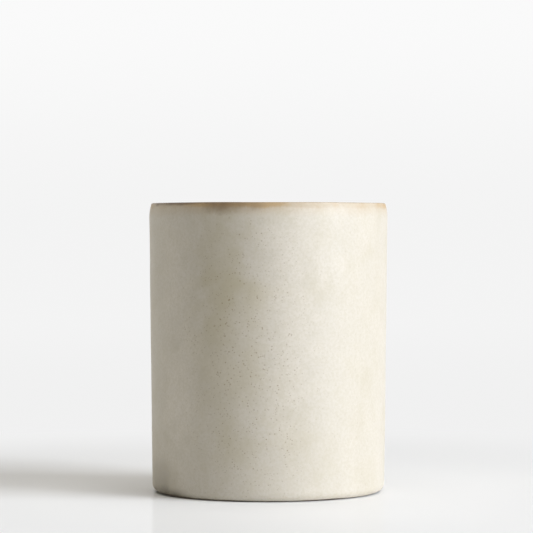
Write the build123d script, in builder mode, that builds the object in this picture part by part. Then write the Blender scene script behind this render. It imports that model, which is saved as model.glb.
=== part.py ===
"""Utensil crock: an open stoneware pot, turned about the vertical axis.

The pot is one fired piece of clay under several coats of glaze. It stands on a bare clay
foot ring round a shallow recess. The wall tapers slightly towards the foot, leans in at the
lip and ends in a narrow crown. Cream glaze covers the wall outside and the whole inside,
a toffee-brown glaze covers the lip, and a coat lies in the recess under the floor.

Every size is in millimetres. The origin is the centre of the foot ring's bearing face, and
+Z is up, along the axis of the pot.
"""

from build123d import *

import os
from math import atan2, hypot, pi, tan

# Overall sizes, measured over the glaze
height = 183.5  # bearing face to the top of the lip
rim_diameter = 152.0  # widest place, at the shoulder under the lip
wall_draft = 2.0  # how far the wall leans in from the shoulder down to the heel
glaze_thickness = 0.4  # every coat of glaze

# Wall and floor, in bare clay
wall_thickness = 5.0
floor_thickness = 6.0
heel_radius = 4.6  # rounding from the wall to the underside
inner_heel_radius = 10.0  # rounding from the floor to the wall, inside

# Lip, in bare clay, whose two sides lean together up to a narrow crown
crown_width = 2.4
crown_radius = 0.5  # rounding of the crown's two edges
lip_height = 5.0  # from the shoulder up to the top, outside
inner_lip_height = 4.0  # from the straight wall up to the top, inside
outer_lean_share = 0.58  # how much of the narrowing at the lip is taken off outside
shoulder_share = 0.85  # how much of the lip's outer side the rounding of the shoulder takes
inner_shoulder_share = 0.5  # the same inside

# Foot, in bare clay
foot_height = 0.6  # step between the bearing face and the underside of the heel
heel_ledge = 0.6  # level underside between the rounding of the heel and the foot ring
foot_width = 8.0  # radial width of the ring
foot_edge_radius = 0.25
recess_depth = 2.5  # bearing face to the clay of the recess
recess_radius = 1.5  # rounding from the ring to the recess

# Edges of the coats, all level
bare_heel = 0.3  # bare clay between the underside of the heel and the outer coat
bare_recess = 1.0  # bare clay between the bearing face and the coat in the recess
lip_band = 3.5  # depth of the toffee-brown band, below the top of the lip
overrun = 5.0  # how far a zone reaches past the glaze that it cuts out

# Radii and levels worked out from the sizes above
clay_top = height - glaze_thickness
rim_radius = rim_diameter / 2 - glaze_thickness
base_radius = rim_radius - wall_draft
inner_rim_radius = rim_radius - wall_thickness
inner_base_radius = base_radius - wall_thickness
foot_outer_radius = base_radius - heel_radius - heel_ledge
foot_inner_radius = foot_outer_radius - foot_width
floor_level = recess_depth + floor_thickness
glaze_line = foot_height + bare_heel
lip_line = height - lip_band

# The lip narrows from the wall's thickness to the crown, on both sides.
lip_narrowing = wall_thickness - crown_width
lip_lean = outer_lean_share * lip_narrowing
inner_lip_lean = lip_narrowing - lip_lean

# The core line runs inside the clay, and parts the coats of one face from those of the other.
core_rim_radius = rim_radius - wall_thickness / 2
core_base_radius = base_radius - wall_thickness / 2
core_foot_radius = foot_outer_radius - foot_width / 2
core_floor_level = recess_depth + floor_thickness / 2
outside_radius = rim_diameter / 2 + overrun


def shoulder_radius(lean, rise, share):
    """Return the radius that rounds the corner between the wall and one side of the lip.

    The side leans by the given amount over the given rise. The rounding takes up a share of
    what the rounding of the crown's edge leaves of the side.
    """
    lean_angle = atan2(lean, rise)
    crown_turn = pi / 2 - lean_angle
    free_length = hypot(lean, rise) - crown_radius * tan(crown_turn / 2)
    return share * free_length / tan(lean_angle / 2)


# Half of the section through the pot, as (radius, level), from the floor over the lip to the
# recess, with the rounding of each corner but the first and the last, which lie on the axis.
# The two bearing edges stay sharp here, so that the bearing face is level, and are rounded last.
floor_centre = (0, floor_level)
recess_centre = (0, recess_depth)
corners = [
    ((inner_base_radius, floor_level), inner_heel_radius),
    (
        (inner_rim_radius, clay_top - inner_lip_height),
        shoulder_radius(inner_lip_lean, inner_lip_height, inner_shoulder_share),
    ),
    ((inner_rim_radius + inner_lip_lean, clay_top), crown_radius),
    ((rim_radius - lip_lean, clay_top), crown_radius),
    (
        (rim_radius, clay_top - lip_height),
        shoulder_radius(lip_lean, lip_height, shoulder_share),
    ),
    ((base_radius, foot_height), heel_radius),
    ((foot_outer_radius, foot_height), foot_edge_radius),
    ((foot_outer_radius, 0), 0),
    ((foot_inner_radius, 0), 0),
    ((foot_inner_radius, recess_depth), recess_radius),
]
corner_points = [point for point, radius in corners]
corner_radii = [radius for point, radius in corners]

with BuildSketch() as clay_section:
    with BuildLine():
        FilletPolyline(floor_centre, *corner_points, recess_centre, radius=corner_radii)
        Line(recess_centre, floor_centre)
    make_face()

# Glaze lies all round the clay at one thickness, until the zones below cut out the coats.
with BuildSketch() as glaze_section:
    add(clay_section.sketch)
    offset(amount=glaze_thickness)
    add(clay_section.sketch, mode=Mode.SUBTRACT)


def coat_section(zone):
    """Return the glaze inside a zone, a closed outline of (radius, level) points."""
    with BuildSketch(Plane.XZ) as coat:
        add(glaze_section.sketch)
        with BuildLine():
            Polyline(*zone, close=True)
        make_face(mode=Mode.INTERSECT)
    return coat.sketch


# Clay: the pot itself, with its bare foot ring.
with BuildPart() as stoneware_body:
    with BuildSketch(Plane.XZ):
        add(clay_section.sketch)
    revolve(axis=Axis.Z)
    bearing_edges = stoneware_body.edges().group_by(Axis.Z)[0]
    fillet(bearing_edges, radius=foot_edge_radius)

# Cream glaze outside, from the glaze line round the heel up to the band on the lip.
with BuildPart() as outer_glaze:
    section = coat_section(
        [
            (core_foot_radius, glaze_line),
            (core_foot_radius, core_floor_level),
            (core_base_radius, floor_level),
            (core_rim_radius, lip_line),
            (outside_radius, lip_line),
            (outside_radius, glaze_line),
        ]
    )
    revolve(section, axis=Axis.Z)

# Toffee-brown glaze over the lip, on both of its faces.
with BuildPart() as lip_glaze:
    section = coat_section(
        [
            (0, lip_line),
            (outside_radius, lip_line),
            (outside_radius, height + overrun),
            (0, height + overrun),
        ]
    )
    revolve(section, axis=Axis.Z)

# Cream glaze inside, from the band on the lip down the wall and over the floor.
with BuildPart() as liner_glaze:
    section = coat_section(
        [
            (0, core_floor_level),
            (core_foot_radius, core_floor_level),
            (core_base_radius, floor_level),
            (core_rim_radius, lip_line),
            (0, lip_line),
        ]
    )
    revolve(section, axis=Axis.Z)

# Glaze under the floor, inside the foot ring.
with BuildPart() as recess_glaze:
    section = coat_section(
        [
            (0, bare_recess),
            (core_foot_radius, bare_recess),
            (core_foot_radius, core_floor_level),
            (0, core_floor_level),
        ]
    )
    revolve(section, axis=Axis.Z)

stoneware_body.part.label = "stoneware_body"
outer_glaze.part.label = "outer_glaze"
lip_glaze.part.label = "lip_glaze"
liner_glaze.part.label = "liner_glaze"
recess_glaze.part.label = "recess_glaze"

os.makedirs("parts", exist_ok=True)
for piece in (stoneware_body, outer_glaze, lip_glaze, liner_glaze, recess_glaze):
    export_step(piece.part, f"parts/{piece.part.label}.step")
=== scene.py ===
"""Utensil crock: the glazed surfaces of an open stoneware pot, with its light and its camera.

Everything is in metres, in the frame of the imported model: the origin is the centre of the foot
ring's bearing face, and +Z is up, along the axis of the pot. The front of the pot faces -Y.
"""

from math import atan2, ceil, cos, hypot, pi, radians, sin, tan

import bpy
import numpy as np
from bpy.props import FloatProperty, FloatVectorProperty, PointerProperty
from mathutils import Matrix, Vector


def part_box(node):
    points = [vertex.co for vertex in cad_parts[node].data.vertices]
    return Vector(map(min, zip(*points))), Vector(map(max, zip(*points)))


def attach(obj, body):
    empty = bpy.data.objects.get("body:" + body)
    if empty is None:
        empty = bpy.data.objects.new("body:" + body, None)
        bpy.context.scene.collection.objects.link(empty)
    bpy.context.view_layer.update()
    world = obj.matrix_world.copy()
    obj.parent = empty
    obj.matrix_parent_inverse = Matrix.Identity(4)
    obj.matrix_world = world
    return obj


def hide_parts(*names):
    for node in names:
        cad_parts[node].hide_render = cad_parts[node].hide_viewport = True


bl_info = {
    "name": "Stoneware Utensil Crock",
    "version": (1, 0, 0),
    "blender": (4, 5, 0),
    "location": "3D View > Sidebar > Crock",
    "description": "Clay and coats of glaze of a turned stoneware crock, with its light and camera",
    "category": "Add Mesh",
}

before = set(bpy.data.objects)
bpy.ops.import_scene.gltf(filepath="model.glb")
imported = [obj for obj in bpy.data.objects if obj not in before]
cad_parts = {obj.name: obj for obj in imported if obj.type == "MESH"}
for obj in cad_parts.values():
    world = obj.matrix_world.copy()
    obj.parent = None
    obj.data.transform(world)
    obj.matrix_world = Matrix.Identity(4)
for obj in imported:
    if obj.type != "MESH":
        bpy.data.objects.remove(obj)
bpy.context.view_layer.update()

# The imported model's box, and the levels and corners that the sizes below start from
CLAY_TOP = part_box("stoneware_body")[1].z
GLAZE_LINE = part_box("outer_glaze")[0].z
LIP_LINE, POT_TOP = (corner.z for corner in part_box("lip_glaze"))
FLOOR_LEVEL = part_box("liner_glaze")[0].z
RECESS_LOW, RECESS_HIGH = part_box("recess_glaze")

# How finely the turned surfaces are divided
COLUMNS = 256
OUTLINE_SPACING = 0.0001  # between the points that an outline is sampled at
ROW_SAMPLES = 20000
LONGEST_STEP = 0.0025  # between rows on a face that is seen
LARGEST_TURN = radians(7)
EDGE_STEP = 0.00012  # between rows at the free edge of a coat
EDGE_REACH = 0.0009  # how far from the edge they stay close
HIDDEN_STEP = 0.006  # between rows on the inner face of a coat
HIDDEN_TURN = radians(15)
FIT_SLACK = 0.0001  # how far a surface may lie from the box of the node that it replaces

# Slow waves in the depth of the glaze: how many, the range of their whole multiples of the
# angle, the shortest length, the range of the others as multiples of it, and the seed
WAVES = 14
WAVE_MULTIPLES = (1, 9)
SHORTEST_WAVE = 0.03
WAVE_STRETCH = (1, 4)
WAVE_SEED = 11

# Cosines that an edge of glaze wanders by: lowest and highest multiple of the angle, and seed
LIP_LINE_WAVES = {"inside": (2, 18, 21), "outside": (2, 18, 22)}
GLAZE_LINE_WAVES = (3, 30, 31)
RECESS_LINE_WAVES = (3, 30, 32)

# Patterns of noise: size of the features, how far they are drawn out upwards, a shift that
# sets one pattern apart from another, and detail
PATTERNS = {
    "pale clouding": (0.028, 1.3, 4.4, 2.0),
    "olive clouding": (0.019, 1.2, 8.1, 3.0),
    "mottling": (0.0016, 1.0, 1.1, 2.0),
    "sheen": (0.009, 1.0, 6.3, 3.0),
    "patch edge": (0.012, 1.0, 3.7, 3.0),
    "lip wander": (0.014, 3.0, 1.3, 2.0),
    "lip streaks": (0.0013, 14.0, 5.1, 2.0),
    "orange peel": (0.0013, 1.0, 2.2, 1.0),
    "fine grain": (0.0005, 1.0, 7.9, 1.0),
    "clay grain": (0.0007, 1.0, 1.9, 3.0),
    "clay patches": (0.012, 1.0, 5.5, 2.0),
}
NOISE_SPAN = (0.3, 0.7)  # where nearly all values of a noise lie

# Patterns that tint a surface: the value where the tint sets in, where it is full, and its
# strength there
TINTS = {
    "pale clouding": (0.4, 0.75, 0.3),
    "olive clouding": (0.45, 0.8, 0.3),
    "mottling": (0.3, 0.72, 0.3),
    "clay grain": (0.35, 0.7, 0.35),
    "clay patches": (0.4, 0.75, 0.4),
}

# Specks: size of the cells that they are scattered by, share of the cells that hold one, and
# the largest radius
SPECKS = {
    "fine specks": (0.0014, 1.0, 0.00052),
    "large specks": (0.0055, 0.5, 0.0007),
    "clay specks": (0.002, 0.5, 0.0003),
    "pits": (0.0035, 0.3, 0.0003),
}
SPECK_SOFTNESS = 0.35  # soft edge of a speck, as a share of its largest radius
SPECK_STRENGTH = (0.12, 0.8)  # in the glaze: the least, and where they are thickest
CLAY_SPECK_STRENGTH = 0.7

# Relief: heights of the orange peel and of the grain, and depth of the pits
GLAZE_RELIEF = (0.00003, 0.00001, 0.00005)
CLAY_RELIEF = (0.00002, 0.00003, 0.00008)

# Roughness: how far that of a glaze changes either way, the share of burnt colour from which
# the lip is fully glossy, and the range of that of the clay
SHEEN = 0.05
GLOSSY_SHARE = 0.8
CLAY_ROUGHNESS = (0.78, 0.92)

# Toffee colour: distances below the top between which it fades, and its strength above them,
# for most of it, for the rest and for the burnt crown
STRONG_TOFFEE = (0.0020, 0.0044, 0.6)
FAINT_TOFFEE = (0.0034, 0.0100, 0.4)
BURNT_CROWN = (0.0003, 0.0011, 1.0)
BREAK_WANDER = 0.0005  # how far the band rises and falls
BREAK_STREAKS = 0.0004  # how far its streaks reach either way
BURNT_STRENGTH = 0.25
WEAKEST_TOFFEE = 0.4  # share of the colour that is left in the middle of a pale stretch

# Painted shade on the clay in the dark gap under the heel: how far inside the ring's outer side,
# and how much
CONTACT_SHADE_REACH = 0.0008
CONTACT_SHADE_STRENGTH = 0.9

# Soft patches: share of the way out that is full, and how uneven the rest is, for most patches and
# for the painted shade low on the left
PATCH_CORE = 0.1
PATCH_UNEVENNESS = 0.3
PAINTED_SHADE_UNEVENNESS = 0.1

# Soft patches in the glaze of the wall, faint clouds and, where marked, painted highlight, painted
# shade and painted light: degrees to the right of the front, level, width, height and strength,
# which is below zero for a patch that is paler than the rest
CLOUDS_SHADE_AND_LIGHT = [
    (-19, 0.130, 0.026, 0.014, 0.5),
    (2, 0.130, 0.042, 0.007, 0.25),
    (-27, 0.105, 0.012, 0.024, 0.35),
    (-16, 0.034, 0.022, 0.012, 0.35),
    (16, 0.037, 0.024, 0.010, 0.3),
    (-24, 0.079, 0.018, 0.016, -0.5),
    (-39, 0.092, 0.014, 0.028, -0.7),
    # Painted highlight, the window's sheen on the right of the wall, in the next two
    (17, 0.160, 0.034, 0.046, -0.55),
    (10, 0.105, 0.026, 0.090, -0.6),
    # Painted shade, the darker and warmer band where the wall turns from the window, in the next
    # two
    (-22, 0.142, 0.019, 0.060, 0.4),
    (-24, 0.090, 0.038, 0.110, 0.36),
    # Painted light, fill on the shaded left side, in the last two
    (-50, 0.140, 0.020, 0.055, -0.6),
    (-48, 0.060, 0.022, 0.050, -0.8),
]

# Painted shade low on the left, on the heel and the wall just above it, beside the pot's shadow on
# the floor: degrees, level, width, height and strength
PAINTED_HEEL_SHADE = [
    (-68, 0.005, 0.034, 0.025, 0.42),
    (-60, 0.000, 0.035, 0.0082, 1.0),
]

# Stains on the lip, and painted shade on the crown: degrees to the right of the front, width,
# height and strength
STAINS_AND_CROWN_SHADE = [
    (-26, 0.013, 0.0085, 0.55),
    (-14, 0.022, 0.0095, 0.6),
    # Painted shade along the crown's edge on the left, which faces away from the light
    (-52, 0.065, 0.0026, 1.0),
]

# Stretches of the lip where the toffee colour is weak: degrees, width and height
PALE_LIPS = [
    (41, 0.062, 0.012),
    (-68, 0.056, 0.012),
]

# Where the iron specks are thickest: degrees, level, width and height
SPECKLED = (-11, 0.082, 0.052, 0.125)

# Height of the direction, as a sine, where the backdrop is brightest
BACKDROP_TOP = 0.09

# Distances from the pot between which the floor fades from a real surface to plain backdrop,
# and between which that backdrop brightens
FLOOR_FADE = (0.22, 0.5)
FLOOR_BRIGHTENING = (0.5, 3.0)

SENSOR_WIDTH = 36.0  # millimetres
WHITE = (1.0, 1.0, 1.0, 1.0)


def length(name, description, default):
    """Return a property that holds a length in metres."""
    return FloatProperty(
        name=name, description=description, default=default, min=0.0, precision=5, unit="LENGTH"
    )


def share(name, description, default):
    """Return a property that holds a share between 0 and 1."""
    return FloatProperty(
        name=name, description=description, default=default, min=0.0, max=1.0, subtype="FACTOR"
    )


def colour(name, description, default):
    """Return a property that holds a linear colour."""
    return FloatVectorProperty(
        name=name, description=description, default=default, min=0.0, max=1.0, subtype="COLOR"
    )


def angle(name, description, degrees):
    """Return a property that holds an angle, given here in degrees."""
    return FloatProperty(
        name=name, description=description, default=radians(degrees), unit="ROTATION"
    )


def power(name, description, default):
    """Return a property that holds the power of a lamp in watts."""
    return FloatProperty(
        name=name, description=description, default=default, min=0.0, unit="POWER"
    )


class CrockSizes(bpy.types.PropertyGroup):
    """Sizes of the clay, and of the coats of glaze on it."""

    height: length("Height", "Bearing face to the top of the lip, over the glaze", POT_TOP)
    rim_diameter: length("Rim Diameter", "Widest place, at the shoulder, over the glaze", 0.152)
    wall_draft: length("Wall Draft", "How far the wall leans in down to the heel", 0.002)
    glaze: length("Glaze", "Thickness of every coat of glaze", POT_TOP - CLAY_TOP)
    wall: length("Wall", "Thickness of the clay wall", 0.005)
    floor_level: length("Floor Level", "Bearing face to the clay floor inside", FLOOR_LEVEL)
    heel_rounding: length("Heel Rounding", "Radius from the wall to the underside", 0.0046)
    inner_heel_rounding: length("Inner Heel Rounding", "Radius from the floor to the wall", 0.01)
    crown_width: length("Crown Width", "Width of the top of the clay lip", 0.0024)
    crown_rounding: length("Crown Rounding", "Radius of the crown's two edges", 0.0005)
    lip_height: length("Lip Height", "Shoulder to the top of the lip, outside", 0.005)
    inner_lip_height: length("Inner Lip Height", "Wall to the top of the lip, inside", 0.004)
    outer_lean_share: share("Outer Lean", "Part of the lip's narrowing that is outside", 0.58)
    shoulder_share: share("Shoulder", "Part of the lip's outer side that is rounded", 0.85)
    inner_shoulder_share: share("Inner Shoulder", "Part of its inner side that is rounded", 0.5)
    foot_height: length("Foot Height", "Bearing face to the underside of the heel", 0.0006)
    heel_ledge: length("Heel Ledge", "Level underside between the heel and the foot ring", 0.0006)
    foot_edge_rounding: length("Foot Edge", "Rounding of the foot ring's edges", 0.00025)
    recess_radius: length("Recess Radius", "Inner radius of the foot ring", RECESS_HIGH.x)
    recess_depth: length("Recess Depth", "Bearing face to the clay of the recess", RECESS_HIGH.z)
    recess_rounding: length("Recess Rounding", "Radius from the ring to the recess", 0.0015)
    lip_line: length("Lip Line", "Level where the toffee lip meets the cream wall", LIP_LINE)
    glaze_line: length("Glaze Line", "Level where the glaze ends at the heel", GLAZE_LINE)
    recess_line: length("Recess Line", "Level where the coat in the recess ends", RECESS_LOW.z)
    unevenness: length("Unevenness", "How much thinner the glaze lies in places", 0.00014)
    lip_wander: length("Lip Wander", "How far the lip line rises and falls", 0.0006)
    edge_wander: length("Edge Wander", "How far the glaze line rises and falls", 0.0003)
    edge_nose: length("Edge Nose", "Width over which a free edge of glaze rounds off", 0.0005)
    edge_bead: length("Edge Bead", "How much deeper the glaze lies behind a free edge", 0.00012)
    heel_pool: length("Heel Pool", "How much deeper the glaze lies in the inner heel", 0.00025)
    crown_thinning: length("Crown Thinning", "How much thinner it lies on the crown", 0.00004)
    grip: length("Grip", "How far a coat of glaze bites into the clay", 0.00002)


class CrockGlazes(bpy.types.PropertyGroup):
    """Colours and finish of the clay and the glazes."""

    cream: colour("Cream", "Satin glaze on the wall", (0.612, 0.564, 0.482))
    # Also the tint of the painted shade where the wall turns from the window
    olive: colour("Olive", "Tint of the faint clouds in the cream", (0.49, 0.435, 0.30))
    # Also the tint of the painted highlight on the right and of the painted light on the left
    pale: colour("Pale", "Tint of the paler clouds in the cream", (0.690, 0.635, 0.548))
    # Colour of the painted shade low on the left, on the heel and the wall above it
    painted_heel_shade: colour("Painted Heel Shade", "Cream darkened by the kiln", (0.19, 0.165, 0.13))
    toffee: colour("Toffee", "Where the glaze thins over the lip", (0.465, 0.33, 0.18))
    # Also the colour of the painted shade along the crown on the left
    burnt: colour("Burnt Toffee", "Where it is darkest, on the lip", (0.17, 0.11, 0.055))
    speck: colour("Speck", "Iron specks in the glaze", (0.30, 0.22, 0.13))
    liner: colour("Liner", "Glaze inside and in the recess", (0.69, 0.635, 0.51))
    clay: colour("Clay", "Bare stoneware of the foot ring", (0.46, 0.345, 0.225))
    toasted: colour("Toasted Clay", "Clay that the kiln has browned", (0.28, 0.17, 0.085))
    # Painted shade on the clay outside the foot ring, in the gap under the heel
    painted_contact_shade: colour("Painted Contact Shade", "Clay outside the foot ring", (0.09, 0.06, 0.036))
    satin: share("Satin Roughness", "Roughness of the cream glaze", 0.5)
    gloss: share("Lip Roughness", "Roughness of the toffee glaze", 0.26)
    liner_gloss: share("Liner Roughness", "Roughness of the glaze inside", 0.34)


class CrockStage(bpy.types.PropertyGroup):
    """Light, floor and camera."""

    camera_distance: length("Camera Distance", "Camera to the axis of the pot", 1.611)
    camera_height: length("Camera Height", "Camera above the floor", 0.167)
    camera_aside: length("Camera Aside", "Camera to the left of the axis", 0.0012)
    camera_pitch: angle("Camera Pitch", "How far the camera looks down", 0.853)
    camera_lens: FloatProperty(
        name="Camera Lens",
        description="Focal length in millimetres, on a sensor 36 mm wide",
        default=170.5,
        unit="CAMERA",
    )
    window_power: power("Window Power", "Near half of the window, on the right", 416.0)
    window_azimuth: angle("Window Azimuth", "Direction, to the right of the camera", 67)
    far_window_power: power("Far Window Power", "The other half, more to the front", 84.0)
    far_window_azimuth: angle("Far Window Azimuth", "Direction, to the right", 45)
    window_elevation: angle("Window Elevation", "Direction of both, above the floor", 20)
    window_colour: colour("Window Colour", "Daylight", (0.895, 0.935, 1.0))
    window_size: length("Window Size", "Width and height of each half", 3.3)
    ceiling_power: power("Ceiling Power", "Soft light from straight above", 180.0)
    ceiling_colour: colour("Ceiling Colour", "Slightly warm", (1.0, 0.965, 0.905))
    ceiling_size: length("Ceiling Size", "Width of the soft light above", 4.5)
    wall_power: power("Wall Power", "Light from a pale wall behind, on the left", 66.0)
    wall_azimuth: angle("Wall Azimuth", "Direction, to the right of the camera", -108)
    wall_elevation: angle("Wall Elevation", "Direction, above the floor", 15)
    wall_colour: colour("Wall Colour", "Near white", (1.0, 0.985, 0.86))
    wall_size: length("Wall Size", "Width and height of the pale wall", 3.2)
    lamp_distance: length("Lamp Distance", "Lamps above the floor to the middle of the pot", 6.0)
    underside_power: power("Underside Power", "Light on the foot ring and the recess", 9.0)
    underside_depth: length("Underside Depth", "How far below the floor its lamp hangs", 0.6)
    floor: share("Floor", "Reflectance of the floor", 0.93)
    floor_shine: share("Floor Shine", "Share of the floor's light that is mirrored", 0.12)
    floor_roughness: share("Floor Roughness", "Roughness of what is mirrored", 0.1)
    floor_end: share("Floor End", "Brightness of the floor where it fades to backdrop", 0.876)
    backdrop_low: share("Backdrop Low", "Brightness of the background at the horizon", 0.900)
    backdrop_high: share("Backdrop High", "Brightness of the background further up", 0.955)
    floor_radius: length("Floor Radius", "Radius of the round floor", 3.0)


def shoulder_rounding(lean, rise, crown_rounding, rounded_share):
    """Return the radius that rounds the corner between the wall and one side of the lip.

    The side leans by the given amount over the given rise. The rounding takes up a share of
    what the rounding of the crown leaves of the side.
    """
    lean_angle = atan2(lean, rise)
    free_length = hypot(lean, rise) - crown_rounding * tan((pi / 2 - lean_angle) / 2)
    return rounded_share * free_length / tan(lean_angle / 2)


def foot_radius(sizes):
    """Return the outer radius of the foot ring."""
    base = sizes.rim_diameter / 2 - sizes.glaze - sizes.wall_draft
    return base - sizes.heel_rounding - sizes.heel_ledge


def clay_corners(sizes):
    """Return (radius, level, rounding) for each corner of half the section through the clay.

    They run from the middle of the floor over the lip to the middle of the recess.
    """
    clay_top = sizes.height - sizes.glaze
    rim = sizes.rim_diameter / 2 - sizes.glaze
    base = rim - sizes.wall_draft
    inner_rim = rim - sizes.wall
    inner_base = base - sizes.wall
    foot = foot_radius(sizes)
    crown = sizes.crown_rounding
    narrowing = sizes.wall - sizes.crown_width
    lean = sizes.outer_lean_share * narrowing
    inner_lean = narrowing - lean
    shoulder = shoulder_rounding(lean, sizes.lip_height, crown, sizes.shoulder_share)
    inner_shoulder = shoulder_rounding(
        inner_lean, sizes.inner_lip_height, crown, sizes.inner_shoulder_share
    )
    return [
        (0, sizes.floor_level, 0),
        (inner_base, sizes.floor_level, sizes.inner_heel_rounding),
        (inner_rim, clay_top - sizes.inner_lip_height, inner_shoulder),
        (inner_rim + inner_lean, clay_top, crown),
        (rim - lean, clay_top, crown),
        (rim, clay_top - sizes.lip_height, shoulder),
        (base, sizes.foot_height, sizes.heel_rounding),
        (foot, sizes.foot_height, sizes.foot_edge_rounding),
        (foot, 0, sizes.foot_edge_rounding),
        (sizes.recess_radius, 0, sizes.foot_edge_rounding),
        (sizes.recess_radius, sizes.recess_depth, sizes.recess_rounding),
        (0, sizes.recess_depth, 0),
    ]


class Outline:
    """Half of the section through the clay, with the air on its left all the way.

    Each corner is rounded by an arc tangent to both its sides. Where the outline turns by an
    angle t, the arc starts rounding * tan(t / 2) before the corner, and its point after a turn
    of a is start + rounding * (sin(a) * ahead + (1 - cos(a)) * aside), where aside points at
    the centre of the arc. A place is a distance along the outline.
    """

    def __init__(self, corners):
        points = []
        normals = []
        marks = np.array([corner[:2] for corner in corners], float)
        ahead = np.diff(marks, axis=0)
        ahead /= np.linalg.norm(ahead, axis=1, keepdims=True)
        start = marks[0]
        for mark, corner, before, after in zip(marks[1:-1], corners[1:-1], ahead, ahead[1:]):
            rounding = corner[2]
            left = np.array([-before[1], before[0]])
            side = np.sign(after @ left)
            turn = atan2(abs(after @ left), before @ after)
            arc_start = mark - rounding * tan(turn / 2) * before
            self.add_stretch(points, normals, *self.run(start, arc_start, left))
            angle = np.linspace(0, turn, self.count(rounding * turn))[:, None]
            arc = np.sin(angle) * before + (1 - np.cos(angle)) * side * left
            facing = np.cos(angle) * left - np.sin(angle) * side * before
            self.add_stretch(points, normals, arc_start + rounding * arc, facing)
            start = points[-1][-1]
        left = np.array([-ahead[-1][1], ahead[-1][0]])
        self.add_stretch(points, normals, *self.run(start, marks[-1], left))
        points = np.concatenate(points)
        normals = np.concatenate(normals)
        steps = np.linalg.norm(np.diff(points, axis=0), axis=1)
        self.place = np.concatenate(([0], np.cumsum(steps)))
        self.radius, self.level = points.T
        self.outward, self.upward = normals.T

    @staticmethod
    def count(distance):
        """Return how many points a stretch of the given length is sampled with."""
        return max(ceil(distance / OUTLINE_SPACING), 2) + 1

    @staticmethod
    def run(start, end, left):
        """Return the points of a straight run and the normal at each."""
        along = np.linspace(0, 1, Outline.count(np.linalg.norm(end - start)))[:, None]
        return start + along * (end - start), np.repeat(left[None], len(along), axis=0)

    @staticmethod
    def add_stretch(points, normals, stretch_points, stretch_normals):
        """Add a stretch to the lists of points and normals."""
        points.append(stretch_points)
        normals.append(stretch_normals)

    def off(self, place, depth):
        """Return the radius and level that lie off the clay by a depth, square to it."""
        radius = np.interp(place, self.place, self.radius)
        level = np.interp(place, self.place, self.level)
        outward = np.interp(place, self.place, self.outward)
        upward = np.interp(place, self.place, self.upward)
        return radius + depth * outward, level + depth * upward

    def facing(self, place):
        """Return the angle of the normal at each place."""
        outward = np.interp(place, self.place, self.outward)
        upward = np.interp(place, self.place, self.upward)
        return np.unwrap(np.arctan2(upward, outward))

    def place_at(self, level, face):
        """Return the place where a face of the pot meets a level.

        The inside climbs from the floor to the crown, the outside falls from there to the
        bearing face, and the recess climbs again.
        """
        crown = int(np.argmax(self.level))
        bearing = int(np.argmin(self.level))
        stretches = {
            "inside": slice(0, crown + 1),
            "outside": slice(crown, bearing + 1),
            "recess": slice(bearing, None),
        }
        levels = self.level[stretches[face]]
        order = np.argsort(levels, kind="stable")
        return np.interp(level, levels[order], self.place[stretches[face]][order])


def column_angles():
    """Return the angle of each column of a turned surface, evenly spaced round the pot."""
    return np.arange(COLUMNS) * (2 * pi / COLUMNS)


def ring_wander(reach, lowest, highest, seed):
    """Return an uneven offset for each column, at most one reach either way.

    It is a sum of cosines of whole multiples of the angle, from the lowest to the highest, so
    that it closes on itself. The amplitudes fall as the multiples rise, and the seed draws
    the phases.
    """
    multiples = np.arange(lowest, highest + 1)[:, None]
    phases = np.random.default_rng(seed).uniform(0, 2 * pi, multiples.shape)
    wave = (np.cos(multiples * column_angles() + phases) / np.sqrt(multiples)).sum(axis=0)
    return reach * wave / np.abs(wave).max()


def slow_waves(place):
    """Return a smooth field between 0 and 1 over the columns and the places in them.

    It is the sum of cosines of multiple * angle + 2 * pi * place / length + phase, with whole
    multiples, so that the field closes round the pot, and lengths no shorter than the
    shortest. The hyperbolic tangent of the sum over the root of their number keeps it within
    its bounds.
    """
    draw = np.random.default_rng(WAVE_SEED)
    angle = column_angles()
    total = np.zeros(place.shape)
    for _ in range(WAVES):
        multiple = draw.integers(*WAVE_MULTIPLES)
        wave_length = SHORTEST_WAVE * draw.uniform(*WAVE_STRETCH) * draw.choice((-1, 1))
        phase = draw.uniform(0, 2 * pi)
        total += np.cos(multiple * angle + 2 * pi * place / wave_length + phase)
    return 0.5 + 0.5 * np.tanh(total / WAVES ** 0.5)


def hump(place, centre, reach):
    """Return a bell curve that is 1 at the centre and fades over the reach."""
    return np.exp(-(((place - centre) / reach) ** 2))


def glaze_depth(sizes, outline, place):
    """Return how deep the glaze lies at each column and place.

    It is the full thickness, less what slow waves over the pot take off, less a little on the
    crown, and more in the inner heel, where glaze runs together: deepest a third of the way up
    the rounding. The waves die out as the square of the radius within a fifth of the diameter
    from the axis, where all columns meet.
    """
    radius = np.interp(place, outline.place, outline.radius)
    steady = np.clip(radius / (sizes.rim_diameter / 5), 0, 1) ** 2
    depth = sizes.glaze - sizes.unevenness * slow_waves(place) * steady
    crown = outline.place_at(sizes.height, "inside")
    pool = outline.place_at(sizes.floor_level + sizes.inner_heel_rounding / 3, "inside")
    depth -= sizes.crown_thinning * hump(place, crown, sizes.crown_width)
    depth += sizes.heel_pool * hump(place, pool, sizes.inner_heel_rounding / 2)
    return depth


def graded_shares(outline, first, last, longest_step, largest_turn, free_first, free_last):
    """Return shares of the way between two places, closest where the surface bends.

    A row costs its length over the longest step, plus its turning over the largest turn, plus
    its length over the edge step near a free edge. The shares are even in cost.
    """
    place = np.linspace(first, last, ROW_SAMPLES)
    turning = np.abs(np.gradient(outline.facing(place), place))
    density = 1 / longest_step + turning / largest_turn
    if free_first:
        density += np.exp(-(place - first) / EDGE_REACH) / EDGE_STEP
    if free_last:
        density += np.exp(-(last - place) / EDGE_REACH) / EDGE_STEP
    cost = np.cumsum((density[1:] + density[:-1]) / 2 * np.diff(place))
    cost = np.concatenate(([0], cost))
    even = np.linspace(0, cost[-1], ceil(cost[-1]) + 1)
    return np.interp(even, cost, np.linspace(0, 1, ROW_SAMPLES))


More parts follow.
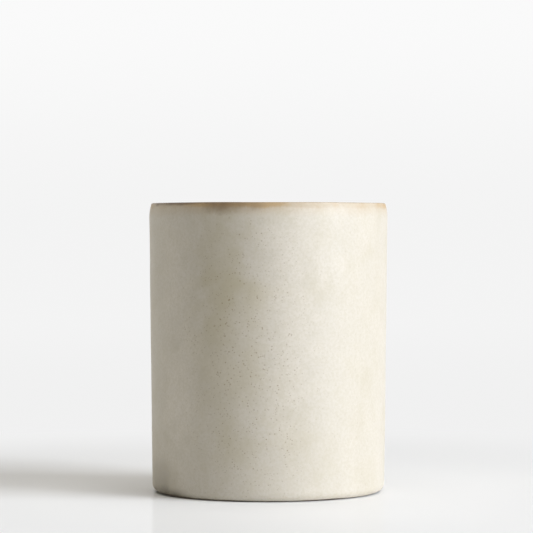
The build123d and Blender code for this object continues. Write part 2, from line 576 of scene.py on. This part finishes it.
def turned_mesh(name, radius, level, ring, sharp_rows=()):
    """Return a closed mesh turned round the Z axis, smooth but along the sharp rows.

    Row i and column j of the grid lie at (radius * cos(angle), radius * sin(angle), level),
    and the columns close on themselves. The rows do too in a ring, and otherwise the first
    and the last row are one point each, on the axis. Outside is on the left of the section.
    """
    angle = column_angles()
    points = np.stack((radius * np.cos(angle), radius * np.sin(angle), level), axis=-1)
    grid = points if ring else points[1:-1]
    number = np.arange(grid.shape[0] * COLUMNS).reshape(-1, COLUMNS)
    this_row = number if ring else number[:-1]
    next_row = np.roll(number, -1, axis=0) if ring else number[1:]
    corners = (this_row, next_row, np.roll(next_row, -1, axis=1), np.roll(this_row, -1, axis=1))
    faces = np.stack(corners, axis=-1).reshape(-1, 4).tolist()
    vertices = grid.reshape(-1, 3)
    if not ring:
        poles = points[[0, -1], 0]
        near = np.full(COLUMNS, len(vertices))
        far = near + 1
        vertices = np.concatenate((vertices, poles))
        faces += np.stack((near, number[0], np.roll(number[0], -1)), axis=-1).tolist()
        faces += np.stack((number[-1], far, np.roll(number[-1], -1)), axis=-1).tolist()
    mesh = bpy.data.meshes.new(name)
    mesh.from_pydata(vertices, [], faces)
    mesh.shade_smooth()
    ends = np.empty(2 * len(mesh.edges), np.int32)
    mesh.edges.foreach_get("vertices", ends)
    rows = ends.reshape(-1, 2) // COLUMNS + (0 if ring else 1)
    sharp = (rows[:, 0] == rows[:, 1]) & np.isin(rows[:, 0], sharp_rows)
    mesh.attributes.new("sharp_edge", "BOOLEAN", "EDGE").data.foreach_set("value", sharp)
    mesh.update()
    return mesh


def clay_mesh(name, outline):
    """Return the closed mesh of the clay, turned from its whole outline."""
    end = outline.place[-1]
    place = end * graded_shares(outline, 0, end, LONGEST_STEP, LARGEST_TURN, False, False)
    radius, level = outline.off(place, 0)
    spread = np.ones(COLUMNS)
    return turned_mesh(name, np.outer(radius, spread), np.outer(level, spread), ring=False)


def coat_mesh(name, sizes, outline, first, last, free_first=False, free_last=False):
    """Return the closed mesh of a coat of glaze between two places on the clay.

    The places may differ from column to column. The outer face lies off the clay by the depth
    of the glaze, and the inner face bites into the clay. At a free edge, at a distance d, the
    depth is times the square root of 1 - (1 - d / nose)^2, a quarter of an ellipse, and a
    bead lies two noses from the edge. The other edges are cut square to meet the next coat,
    or lie on the axis.
    """
    first = first + np.zeros(COLUMNS)
    last = last + np.zeros(COLUMNS)
    limits = (first.mean(), last.mean())
    seen = graded_shares(outline, *limits, LONGEST_STEP, LARGEST_TURN, free_first, free_last)
    hidden = graded_shares(outline, *limits, HIDDEN_STEP, HIDDEN_TURN, False, False)
    place = first + (last - first) * seen[:, None]
    depth = glaze_depth(sizes, outline, place)
    for edge, free in ((first, free_first), (last, free_last)):
        if free:
            distance = np.abs(place - edge)
            depth += sizes.edge_bead * hump(distance, 2 * sizes.edge_nose, sizes.edge_nose)
            rise = 1 - np.clip(distance / sizes.edge_nose, 0, 1)
            depth *= np.sqrt(1 - rise ** 2)
    outer = outline.off(place, depth)
    inner = outline.off(first + (last - first) * hidden[::-1, None], -sizes.grip)
    starts_on_axis = limits[0] == 0
    ends_on_axis = limits[1] == outline.place[-1]
    sections = (inner, outer) if ends_on_axis else (outer, inner)
    radius = np.concatenate([section[0] for section in sections])
    level = np.concatenate([section[1] for section in sections])
    outer_start = len(hidden) if ends_on_axis else 0
    outer_end = outer_start + len(seen) - 1
    sharp_rows = []
    if not free_first and not starts_on_axis:
        sharp_rows += [outer_start, len(radius) - 1]
    if not free_last and not ends_on_axis:
        sharp_rows += [outer_end, outer_end + 1]
    ring = not (starts_on_axis or ends_on_axis)
    return turned_mesh(name, radius, level, ring, sharp_rows)


def lip_places(sizes, outline, face):
    """Return the place of the uneven lip line in each column, on the inside or the outside."""
    wander = ring_wander(sizes.lip_wander, *LIP_LINE_WAVES[face])
    return outline.place_at(sizes.lip_line + wander, face)


def edge_places(sizes, outline, level, face, waves):
    """Return the place of the uneven free edge of a coat in each column."""
    return outline.place_at(level, face) + ring_wander(sizes.edge_wander, *waves)


def find_socket(sockets, key):
    """Return the socket with this number, identifier or name."""
    if isinstance(key, int):
        return sockets[key]
    return next(socket for socket in sockets if key in (socket.identifier, socket.name))


def add_node(tree, kind, inputs=None, **settings):
    """Add a node with its settings, and set each named input or link it to an output."""
    node = tree.nodes.new(kind)
    for key, value in settings.items():
        setattr(node, key, value)
    for key, value in (inputs or {}).items():
        socket = find_socket(node.inputs, key)
        if isinstance(value, bpy.types.NodeSocket):
            tree.links.new(value, socket)
        else:
            socket.default_value = value
    return node


def calculate(tree, operation, *values, clamp=False):
    """Return the result of a sum on values and outputs."""
    inputs = dict(enumerate(values))
    return add_node(tree, "ShaderNodeMath", inputs, operation=operation, use_clamp=clamp).outputs[0]


def calculate_vector(tree, operation, *values):
    """Return the result of a sum on vectors."""
    inputs = dict(enumerate(values))
    return add_node(tree, "ShaderNodeVectorMath", inputs, operation=operation).outputs[0]


def vector_length(tree, vector):
    """Return the length of a vector."""
    node = add_node(tree, "ShaderNodeVectorMath", {0: vector}, operation="LENGTH")
    return node.outputs["Value"]


def upward_part(tree, vector):
    """Return the upward part of a vector."""
    return add_node(tree, "ShaderNodeSeparateXYZ", {0: vector}).outputs["Z"]


def ramp(tree, value, low, high, at_low=0.0, at_high=1.0, shape="SMOOTHSTEP"):
    """Return a value carried from one range to another, and held past its ends."""
    inputs = {
        "Value": value,
        "From Min": low,
        "From Max": high,
        "To Min": at_low,
        "To Max": at_high,
    }
    return add_node(tree, "ShaderNodeMapRange", inputs, interpolation_type=shape).outputs[0]


def noise(tree, position, pattern):
    """Return the noise of a named pattern, between 0 and 1."""
    size, drawn_out, shift, detail = PATTERNS[pattern]
    scale = (1 / size, 1 / size, 1 / (size * drawn_out))
    inputs = {"Vector": position, "Location": (shift, shift, shift), "Scale": scale}
    placed = add_node(tree, "ShaderNodeMapping", inputs).outputs[0]
    inputs = {"Vector": placed, "Scale": 1.0, "Detail": detail}
    return add_node(tree, "ShaderNodeTexNoise", inputs).outputs[0]


def spread_noise(tree, position, pattern, low, high):
    """Return the noise of a named pattern, with its usual span carried onto a range."""
    return ramp(tree, noise(tree, position, pattern), *NOISE_SPAN, low, high, "LINEAR")


def mix_colours(tree, factor, first, second):
    """Return the first colour mixed with the second by a factor."""
    first, second = (
        value if isinstance(value, bpy.types.NodeSocket) else (*value, 1.0)
        for value in (first, second)
    )
    inputs = {"Factor_Float": factor, "A_Color": first, "B_Color": second}
    node = add_node(tree, "ShaderNodeMix", inputs, data_type="RGBA")
    return find_socket(node.outputs, "Result_Color")


def mix_shaders(tree, factor, first, second):
    """Return the first shader mixed with the second by a factor."""
    inputs = {0: factor, 1: first, 2: second}
    return add_node(tree, "ShaderNodeMixShader", inputs).outputs[0]


def use_group(tree, name, inputs):
    """Place a node group in a node tree and return its outputs, after building it if needed."""
    if name not in bpy.data.node_groups:
        build_group(name)
    group = bpy.data.node_groups[name]
    return add_node(tree, "ShaderNodeGroup", inputs, node_tree=group).outputs


def build_group(name):
    """Build a node group, with the inputs and outputs that the table of groups gives it."""
    build, inputs, outputs = GROUPS[name]
    group = bpy.data.node_groups.new(name, "ShaderNodeTree")
    for label in inputs:
        kind = "NodeSocketVector" if label in VECTOR_INPUTS else "NodeSocketFloat"
        group.interface.new_socket(label, in_out="INPUT", socket_type=kind)
    for label in outputs:
        group.interface.new_socket(label, in_out="OUTPUT", socket_type="NodeSocketFloat")
    entry = group.nodes.new("NodeGroupInput").outputs
    leave = group.nodes.new("NodeGroupOutput").inputs
    for label, value in zip(outputs, build(group, entry)):
        group.links.new(value, leave[label])


def build_specks(group, entry):
    """Scatter round specks of uneven size, as a mask.

    Space is divided into cells, a share of which hold a speck. A speck's radius is the given
    one, in metres, times how far the cell's own chance lies past the limit. The chance is
    drawn anew from the cell's colour, which by itself follows the place of the speck.
    """
    placed = calculate_vector(group, "DIVIDE", entry["Position"], entry["Cell"])
    cells = add_node(group, "ShaderNodeTexVoronoi", {"Vector": placed, "Scale": 1.0}).outputs
    drawn = add_node(group, "ShaderNodeTexWhiteNoise", {"Vector": cells["Color"]}).outputs
    short = calculate(group, "SUBTRACT", drawn["Value"], 1.0)
    past = calculate(group, "DIVIDE", short, entry["Share"])
    size = calculate(group, "ADD", past, 1.0, clamp=True)
    radius = calculate(group, "MULTIPLY", size, entry["Radius"])
    distance = calculate(group, "MULTIPLY", cells["Distance"], entry["Cell"])
    inside = calculate(group, "SUBTRACT", radius, distance)
    softness = calculate(group, "MULTIPLY", entry["Radius"], SPECK_SOFTNESS)
    return [calculate(group, "DIVIDE", inside, softness, clamp=True)]


def build_patch(group, entry):
    """Make one soft patch round a centre, with an uneven edge.

    The distance from the centre, over the patch's width and height and shifted by noise, is
    carried from the core to 1 onto 1 to 0.
    """
    offset = calculate_vector(group, "SUBTRACT", entry["Position"], entry["Centre"])
    across = {"X": entry["Width"], "Y": entry["Width"], "Z": entry["Height"]}
    reach = add_node(group, "ShaderNodeCombineXYZ", across).outputs[0]
    distance = vector_length(group, calculate_vector(group, "DIVIDE", offset, reach))
    wander = spread_noise(group, entry["Position"], "patch edge", -1.0, 1.0)
    shift = calculate(group, "MULTIPLY", wander, entry["Unevenness"])
    shifted = calculate(group, "ADD", distance, shift)
    return [ramp(group, shifted, PATCH_CORE, 1.0, 1.0, 0.0)]


def build_edge_break(group, entry):
    """Mark where the glaze has thinned over the lip.

    The distance below the top is shifted by noise that wanders round the pot, and by finer
    noise drawn out downwards into streaks. Toffee is full down to a first distance, most of it
    is gone at a second, and the rest fades out by a third. Burnt is the crown alone.
    """
    position = entry["Position"]
    below = calculate(group, "SUBTRACT", entry["Top"], upward_part(group, position))
    wander = spread_noise(group, position, "lip wander", -BREAK_WANDER, BREAK_WANDER)
    streaks = spread_noise(group, position, "lip streaks", -BREAK_STREAKS, BREAK_STREAKS)
    shifted = calculate(group, "ADD", below, calculate(group, "ADD", wander, streaks))
    strong = ramp(group, shifted, *STRONG_TOFFEE, 0.0)
    faint = ramp(group, shifted, *FAINT_TOFFEE, 0.0)
    burnt = ramp(group, below, *BURNT_CROWN, 0.0)
    return [calculate(group, "ADD", strong, faint), burnt]


def build_relief(group, entry):
    """Give fired glaze or clay its fine relief, as a height in metres.

    It adds orange peel about a millimetre across and a finer grain, and takes a few pits off.
    """
    position = entry["Position"]
    peel = calculate(group, "MULTIPLY", noise(group, position, "orange peel"), entry["Peel"])
    grain = calculate(group, "MULTIPLY", noise(group, position, "fine grain"), entry["Grain"])
    pits = calculate(group, "MULTIPLY", speck_mask(group, position, "pits"), entry["Pits"])
    raised = calculate(group, "ADD", peel, grain)
    return [calculate(group, "SUBTRACT", raised, pits)]


# Node groups that the materials share: what builds each, its inputs and its outputs
GROUPS = {
    "Iron Specks": (build_specks, ("Position", "Cell", "Share", "Radius"), ("Mask",)),
    "Soft Patch": (
        build_patch,
        ("Position", "Centre", "Width", "Height", "Unevenness"),
        ("Factor",),
    ),
    "Edge Break": (build_edge_break, ("Position", "Top"), ("Toffee", "Burnt")),
    "Glaze Relief": (build_relief, ("Position", "Peel", "Grain", "Pits"), ("Height",)),
}
VECTOR_INPUTS = ("Position", "Centre")


def new_material(name, base):
    """Return a material, its node tree, its shader and the position on the object."""
    material = bpy.data.materials.new(name)
    material.diffuse_color = (*base, 1.0)
    material.use_nodes = True
    tree = material.node_tree
    shader = tree.nodes["Principled BSDF"]
    position = add_node(tree, "ShaderNodeTexCoord").outputs["Object"]
    return material, tree, shader, position


def add_relief(tree, shader, position, peel, grain, pits):
    """Give a shader the fine relief of fired glaze or clay."""
    inputs = {"Position": position, "Peel": peel, "Grain": grain, "Pits": pits}
    height = use_group(tree, "Glaze Relief", inputs)["Height"]
    bump = add_node(tree, "ShaderNodeBump", {"Strength": 1.0, "Distance": 1.0, "Height": height})
    tree.links.new(bump.outputs["Normal"], shader.inputs["Normal"])


def add_tint(tree, position, base, tint, pattern):
    """Return a colour with a tint laid over it, where the noise of a pattern is high."""
    sets_in, full, strength = TINTS[pattern]
    factor = ramp(tree, noise(tree, position, pattern), sets_in, full, 0.0, strength)
    return mix_colours(tree, factor, base, tint)


def speck_mask(tree, position, kind):
    """Return the mask of one kind of speck."""
    cell, share_held, radius = SPECKS[kind]
    inputs = {"Position": position, "Cell": cell, "Share": share_held, "Radius": radius}
    return use_group(tree, "Iron Specks", inputs)["Mask"]


def add_specks(tree, position, base, dark, kind, strength):
    """Return a colour with one kind of speck laid over it."""
    factor = calculate(tree, "MULTIPLY", speck_mask(tree, position, kind), strength)
    return mix_colours(tree, factor, base, dark)


def on_wall(sizes, azimuth, level):
    """Return the point on the outside of the wall at an angle to the right of the front."""
    radius = sizes.rim_diameter / 2
    return (radius * sin(radians(azimuth)), -radius * cos(radians(azimuth)), level)


def wall_patch(tree, sizes, position, place, unevenness=PATCH_UNEVENNESS):
    """Return how far a point lies within one soft patch on the wall."""
    azimuth, level, width, height = place
    inputs = {
        "Position": position,
        "Centre": on_wall(sizes, azimuth, level),
        "Width": width,
        "Height": height,
        "Unevenness": unevenness,
    }
    return use_group(tree, "Soft Patch", inputs)["Factor"]


def add_patch(tree, patch, base, tint, strength):
    """Return a colour with a tint laid over it within one soft patch."""
    return mix_colours(tree, calculate(tree, "MULTIPLY", patch, strength), base, tint)


def glaze_material(name, sizes, glazes, base, roughness, with_clouds_shade_and_light):
    """Return a material of glaze over stoneware, with its edge break at the lip.

    Over the base colour lie, in this order, pale and olive clouding, the wall's own clouds with
    painted highlight, painted shade and painted light among them, painted shade low on the left,
    fine mottling, iron specks, the toffee and burnt colours where the glaze has thinned, and the
    stains on the lip, the last of which is painted shade along the crown on the left.
    """
    material, tree, shader, position = new_material(name, base)
    tint = add_tint(tree, position, base, glazes.pale, "pale clouding")
    tint = add_tint(tree, position, tint, glazes.olive, "olive clouding")
    if with_clouds_shade_and_light:
        # Clouds, with painted highlight, painted shade and painted light among them
        for *place, strength in CLOUDS_SHADE_AND_LIGHT:
            patch = wall_patch(tree, sizes, position, place)
            patch_tint = glazes.olive if strength > 0 else glazes.pale
            tint = add_patch(tree, patch, tint, patch_tint, abs(strength))
        # Painted shade low on the left, on the heel and the wall above it
        for *place, strength in PAINTED_HEEL_SHADE:
            patch = wall_patch(tree, sizes, position, place, PAINTED_SHADE_UNEVENNESS)
            tint = add_patch(tree, patch, tint, glazes.painted_heel_shade, strength)
    tint = add_tint(tree, position, tint, glazes.olive, "mottling")
    speckled = wall_patch(tree, sizes, position, SPECKLED)
    strength = ramp(tree, speckled, 0.0, 1.0, *SPECK_STRENGTH, "LINEAR")
    tint = add_specks(tree, position, tint, glazes.speck, "fine specks", strength)
    tint = add_specks(tree, position, tint, glazes.speck, "large specks", strength)
    edge = use_group(tree, "Edge Break", {"Position": position, "Top": sizes.height})
    kept = 1.0
    for azimuth, width, height in PALE_LIPS:
        patch = wall_patch(tree, sizes, position, (azimuth, sizes.height, width, height))
        left = ramp(tree, patch, 0.0, 1.0, 1.0, WEAKEST_TOFFEE, "LINEAR")
        kept = calculate(tree, "MULTIPLY", kept, left)
    tint = mix_colours(tree, calculate(tree, "MULTIPLY", edge["Toffee"], kept), tint, glazes.toffee)
    burnt = calculate(tree, "MULTIPLY", edge["Burnt"], BURNT_STRENGTH)
    tint = mix_colours(tree, calculate(tree, "MULTIPLY", burnt, kept), tint, glazes.burnt)
    for azimuth, width, height, strength in STAINS_AND_CROWN_SHADE:
        patch = wall_patch(tree, sizes, position, (azimuth, sizes.height, width, height))
        tint = add_patch(tree, patch, tint, glazes.burnt, strength)
    tree.links.new(tint, shader.inputs["Base Color"])
    gloss = spread_noise(tree, position, "sheen", roughness - SHEEN, roughness + SHEEN)
    glossy_lip = ramp(tree, edge["Burnt"], 0.0, GLOSSY_SHARE)
    difference = calculate(tree, "SUBTRACT", glazes.gloss, gloss)
    gloss = calculate(tree, "ADD", gloss, calculate(tree, "MULTIPLY", difference, glossy_lip))
    tree.links.new(gloss, shader.inputs["Roughness"])
    add_relief(tree, shader, position, *GLAZE_RELIEF)
    return material


def clay_material(sizes, glazes):
    """Return the material of bare buff stoneware, dark outside the foot ring.

    The shadow of the gap under the heel is painted on the clay there, between the ring's outer side
    and the glaze.
    """
    material, tree, shader, position = new_material("bare_clay", glazes.clay)
    tint = add_tint(tree, position, glazes.clay, glazes.toasted, "clay grain")
    tint = add_tint(tree, position, tint, glazes.toasted, "clay patches")
    radius = vector_length(tree, calculate_vector(tree, "MULTIPLY", position, (1.0, 1.0, 0.0)))
    foot = foot_radius(sizes)
    # Painted shade: the gap under the heel, darkened on the clay outside the foot ring
    painted_contact_shade = ramp(tree, radius, foot - CONTACT_SHADE_REACH, foot, 0.0, CONTACT_SHADE_STRENGTH)
    tint = mix_colours(tree, painted_contact_shade, tint, glazes.painted_contact_shade)
    tint = add_specks(tree, position, tint, glazes.speck, "clay specks", CLAY_SPECK_STRENGTH)
    tree.links.new(tint, shader.inputs["Base Color"])
    dryness = spread_noise(tree, position, "clay grain", *CLAY_ROUGHNESS)
    tree.links.new(dryness, shader.inputs["Roughness"])
    add_relief(tree, shader, position, *CLAY_RELIEF)
    return material


def check_fit(mesh, node):
    """Stop if a mesh doesn't lie where the node that it replaces lies."""
    points = np.empty(3 * len(mesh.vertices), np.float32)
    mesh.vertices.foreach_get("co", points)
    points = points.reshape(-1, 3)
    low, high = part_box(node)
    widest = max(np.abs(points.min(axis=0) - low).max(), np.abs(points.max(axis=0) - high).max())
    if widest > FIT_SLACK:
        raise RuntimeError(f"{mesh.name} lies {widest:.5f} m from {node}")


def add_object(name, data):
    """Return a new object, linked into the scene."""
    made = bpy.data.objects.new(name, data)
    bpy.context.scene.collection.objects.link(made)
    return made


def add_piece(mesh, node, material):
    """Put a mesh into the scene in place of a node of the frame."""
    mesh.materials.append(material)
    piece = add_object(mesh.name, mesh)
    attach(piece, "root")
    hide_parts(node)


def add_liner_coat(sizes, glazes, outline):
    """Glaze the floor and the inside of the wall up to the lip line."""
    last = lip_places(sizes, outline, "inside")
    mesh = coat_mesh("liner_coat", sizes, outline, 0, last)
    material = glaze_material("liner_glaze", sizes, glazes, glazes.liner, glazes.liner_gloss, False)
    add_piece(mesh, "liner_glaze", material)


def add_recess_coat(sizes, glazes, outline):
    """Glaze the recess inside the foot ring."""
    first = edge_places(sizes, outline, sizes.recess_line, "recess", RECESS_LINE_WAVES)
    mesh = coat_mesh("recess_coat", sizes, outline, first, outline.place[-1], free_first=True)
    material = glaze_material(
        "recess_glaze", sizes, glazes, glazes.liner, glazes.liner_gloss, False
    )
    add_piece(mesh, "recess_glaze", material)


def seen_ray(tree):
    """Return 1 for rays from the camera, and for reflected and refracted ones."""
    path = add_node(tree, "ShaderNodeLightPath").outputs
    direct = calculate(tree, "ADD", path["Is Camera Ray"], path["Is Glossy Ray"])
    return calculate(tree, "ADD", direct, path["Is Transmission Ray"], clamp=True)


def add_world(stage):
    """Put a pale backdrop round the scene, which is seen and mirrored but gives no light.

    It is brighter further up, by the height of the direction in which it is seen.
    """
    world = bpy.data.worlds.new("Pale Room")
    world.use_nodes = True
    tree = world.node_tree
    tree.nodes.clear()
    direction = add_node(tree, "ShaderNodeTexCoord").outputs["Generated"]
    upward = upward_part(tree, direction)
    brightness = ramp(tree, upward, 0.0, BACKDROP_TOP, stage.backdrop_low, stage.backdrop_high)
    strength = calculate(tree, "MULTIPLY", brightness, seen_ray(tree))
    backdrop = add_node(tree, "ShaderNodeBackground", {"Color": WHITE, "Strength": strength})
    add_node(tree, "ShaderNodeOutputWorld", {"Surface": backdrop.outputs[0]})
    bpy.context.scene.world = world


def floor_material(stage):
    """Return the material of the floor, which takes the pot's shadow and fades to backdrop.

    It is clear when seen from below, and lets the light of a lamp pass from there.
    """
    material = bpy.data.materials.new("pale_floor")
    material.use_nodes = True
    tree = material.node_tree
    tree.nodes.clear()
    distance = vector_length(tree, add_node(tree, "ShaderNodeTexCoord").outputs["Object"])
    seen = seen_ray(tree)
    reflectance = (stage.floor, stage.floor, stage.floor, 1.0)
    surface = add_node(tree, "ShaderNodeBsdfDiffuse", {"Color": reflectance}).outputs[0]
    polish = {"Color": WHITE, "Roughness": stage.floor_roughness}
    mirror = add_node(tree, "ShaderNodeBsdfGlossy", polish).outputs[0]
    shine = calculate(tree, "MULTIPLY", seen, stage.floor_shine)
    near = mix_shaders(tree, shine, surface, mirror)
    strength = ramp(tree, distance, *FLOOR_BRIGHTENING, stage.floor_end, stage.backdrop_low)
    far = add_node(tree, "ShaderNodeEmission", {"Color": WHITE, "Strength": strength}).outputs[0]
    fade = calculate(tree, "MULTIPLY", ramp(tree, distance, *FLOOR_FADE), seen)
    above = mix_shaders(tree, fade, near, far)
    below = add_node(tree, "ShaderNodeBsdfTransparent").outputs[0]
    side = add_node(tree, "ShaderNodeNewGeometry").outputs["Backfacing"]
    towards_lamp = add_node(tree, "ShaderNodeLightPath").outputs["Is Shadow Ray"]
    clear = calculate(tree, "ADD", side, towards_lamp, clamp=True)
    surface = mix_shaders(tree, clear, above, below)
    add_node(tree, "ShaderNodeOutputMaterial", {"Surface": surface})
    return material


def add_floor(stage):
    """Lay a round floor under the pot, a circle of columns round one point."""
    angle = column_angles()
    flat = np.zeros(COLUMNS)
    circle = stage.floor_radius * np.stack((np.cos(angle), np.sin(angle), flat), axis=-1)
    vertices = np.concatenate((circle, [(0, 0, 0)]))
    number = np.arange(COLUMNS)
    faces = np.stack((np.full(COLUMNS, COLUMNS), number, np.roll(number, -1)), axis=-1)
    mesh = bpy.data.meshes.new("floor")
    mesh.from_pydata(vertices, [], faces.tolist())
    mesh.materials.append(floor_material(stage))
    add_object("floor", mesh)


def add_lamp(name, watts, tint, size, azimuth, elevation, distance, mirrored):
    """Hang a square lamp, aimed at the middle of the pot, which may show in reflections."""
    data = bpy.data.lights.new(name, "AREA")
    data.shape = "SQUARE"
    data.size = size
    data.energy = watts
    data.color = tint
    lamp = add_object(name, data)
    lamp.visible_camera = False
    lamp.visible_glossy = mirrored
    level = distance * cos(elevation)
    rise = distance * sin(elevation)
    lamp.location = (level * sin(azimuth), -level * cos(azimuth), rise + POT_TOP / 2)
    lamp.rotation_euler = (pi / 2 - elevation, 0.0, azimuth)


def add_lamps(stage):
    """Hang the two halves of the window, the soft light above and the pale wall."""
    window = (stage.window_colour, stage.window_size)
    ceiling = (stage.ceiling_colour, stage.ceiling_size)
    wall = (stage.wall_colour, stage.wall_size)
    to_window = (stage.window_azimuth, stage.window_elevation, stage.lamp_distance)
    to_far_window = (stage.far_window_azimuth, stage.window_elevation, stage.lamp_distance)
    straight_up = (0.0, pi / 2, stage.lamp_distance)
    to_wall = (stage.wall_azimuth, stage.wall_elevation, stage.lamp_distance)
    add_lamp("window", stage.window_power, *window, *to_window, True)
    add_lamp("far_window", stage.far_window_power, *window, *to_far_window, True)
    add_lamp("ceiling", stage.ceiling_power, *ceiling, *straight_up, False)
    add_lamp("wall", stage.wall_power, *wall, *to_wall, False)


def add_underside_lamp(sizes, stage):
    """Aim a narrow lamp up through the floor, which is clear from below, at the foot ring.

    Its cone closes at the ring's outer side, so nothing that is seen from above is lit by it.
    """
    data = bpy.data.lights.new("underside", "SPOT")
    data.energy = stage.underside_power
    data.spot_size = 2 * atan2(foot_radius(sizes), stage.underside_depth)
    data.spot_blend = 0.0
    data.shadow_soft_size = 0.0
    lamp = add_object("underside", data)
    lamp.location = (0.0, 0.0, -stage.underside_depth)
    lamp.rotation_euler = (pi, 0.0, 0.0)


def add_camera(stage):
    """Stand the camera a little lower than the lip and a little to the left of the axis."""
    data = bpy.data.cameras.new("camera")
    data.sensor_width = SENSOR_WIDTH
    data.lens = stage.camera_lens
    camera = add_object("camera", data)
    camera.location = (-stage.camera_aside, -stage.camera_distance, stage.camera_height)
    camera.rotation_euler = (pi / 2 - stage.camera_pitch, 0.0, 0.0)
    bpy.context.scene.camera = camera


class CROCK_OT_clay_body(bpy.types.Operator):
    """Turn the clay of the pot, with its bare foot ring"""

    bl_idname = "crock.clay_body"
    bl_label = "Clay Body"

    def execute(self, context):
        sizes = context.scene.crock_sizes
        mesh = clay_mesh("turned_clay", Outline(clay_corners(sizes)))
        check_fit(mesh, "stoneware_body")
        material = clay_material(sizes, context.scene.crock_glazes)
        add_piece(mesh, "stoneware_body", material)
        return {"FINISHED"}


class CROCK_OT_wall_coat(bpy.types.Operator):
    """Glaze the outside in cream, from the lip line down to the glaze line at the heel"""

    bl_idname = "crock.wall_coat"
    bl_label = "Wall Coat"

    def execute(self, context):
        sizes = context.scene.crock_sizes
        glazes = context.scene.crock_glazes
        outline = Outline(clay_corners(sizes))
        first = lip_places(sizes, outline, "outside")
        last = edge_places(sizes, outline, sizes.glaze_line, "outside", GLAZE_LINE_WAVES)
        mesh = coat_mesh("wall_coat", sizes, outline, first, last, free_last=True)
        material = glaze_material("cream_glaze", sizes, glazes, glazes.cream, glazes.satin, True)
        add_piece(mesh, "outer_glaze", material)
        return {"FINISHED"}


class CROCK_OT_lip_coat(bpy.types.Operator):
    """Glaze the lip in toffee brown, from the lip line inside over the crown to the outside"""

    bl_idname = "crock.lip_coat"
    bl_label = "Lip Coat"

    def execute(self, context):
        sizes = context.scene.crock_sizes
        glazes = context.scene.crock_glazes
        outline = Outline(clay_corners(sizes))
        first = lip_places(sizes, outline, "inside")
        last = lip_places(sizes, outline, "outside")
        mesh = coat_mesh("lip_coat", sizes, outline, first, last)
        material = glaze_material("toffee_glaze", sizes, glazes, glazes.cream, glazes.satin, False)
        add_piece(mesh, "lip_glaze", material)
        return {"FINISHED"}


class CROCK_OT_liner_coats(bpy.types.Operator):
    """Glaze the inside of the pot and the recess under it"""

    bl_idname = "crock.liner_coats"
    bl_label = "Liner Coats"

    def execute(self, context):
        sizes = context.scene.crock_sizes
        outline = Outline(clay_corners(sizes))
        add_liner_coat(sizes, context.scene.crock_glazes, outline)
        add_recess_coat(sizes, context.scene.crock_glazes, outline)
        return {"FINISHED"}


class CROCK_OT_stage(bpy.types.Operator):
    """Set up the floor, the light and the camera"""

    bl_idname = "crock.stage"
    bl_label = "Stage"

    def execute(self, context):
        stage = context.scene.crock_stage
        add_world(stage)
        add_floor(stage)
        add_lamps(stage)
        add_underside_lamp(context.scene.crock_sizes, stage)
        add_camera(stage)
        context.scene.view_settings.view_transform = "Standard"
        return {"FINISHED"}


class CROCK_PT_panel(bpy.types.Panel):
    """Lists the operators of the crock and everything that can be set"""

    bl_label = "Crock"
    bl_idname = "CROCK_PT_panel"
    bl_space_type = "VIEW_3D"
    bl_region_type = "UI"
    bl_category = "Crock"

    def draw(self, context):
        layout = self.layout
        scene = context.scene
        for operator in OPERATORS:
            layout.operator(operator.bl_idname)
        for group in (scene.crock_sizes, scene.crock_glazes, scene.crock_stage):
            box = layout.box()
            for name in type(group).__annotations__:
                box.prop(group, name)


OPERATORS = (
    CROCK_OT_clay_body,
    CROCK_OT_wall_coat,
    CROCK_OT_lip_coat,
    CROCK_OT_liner_coats,
    CROCK_OT_stage,
)
CLASSES = (CrockSizes, CrockGlazes, CrockStage, *OPERATORS, CROCK_PT_panel)


def register():
    """Register the classes and hang the properties on the scene."""
    for each in CLASSES:
        bpy.utils.register_class(each)
    bpy.types.Scene.crock_sizes = PointerProperty(type=CrockSizes)
    bpy.types.Scene.crock_glazes = PointerProperty(type=CrockGlazes)
    bpy.types.Scene.crock_stage = PointerProperty(type=CrockStage)


def unregister():
    """Take back all that register added."""
    del bpy.types.Scene.crock_stage
    del bpy.types.Scene.crock_glazes
    del bpy.types.Scene.crock_sizes
    for each in reversed(CLASSES):
        bpy.utils.unregister_class(each)


def main():
    """Make the whole scene."""
    register()
    bpy.ops.crock.clay_body()
    bpy.ops.crock.wall_coat()
    bpy.ops.crock.lip_coat()
    bpy.ops.crock.liner_coats()
    bpy.ops.crock.stage()


if __name__ == "__main__":
    main()
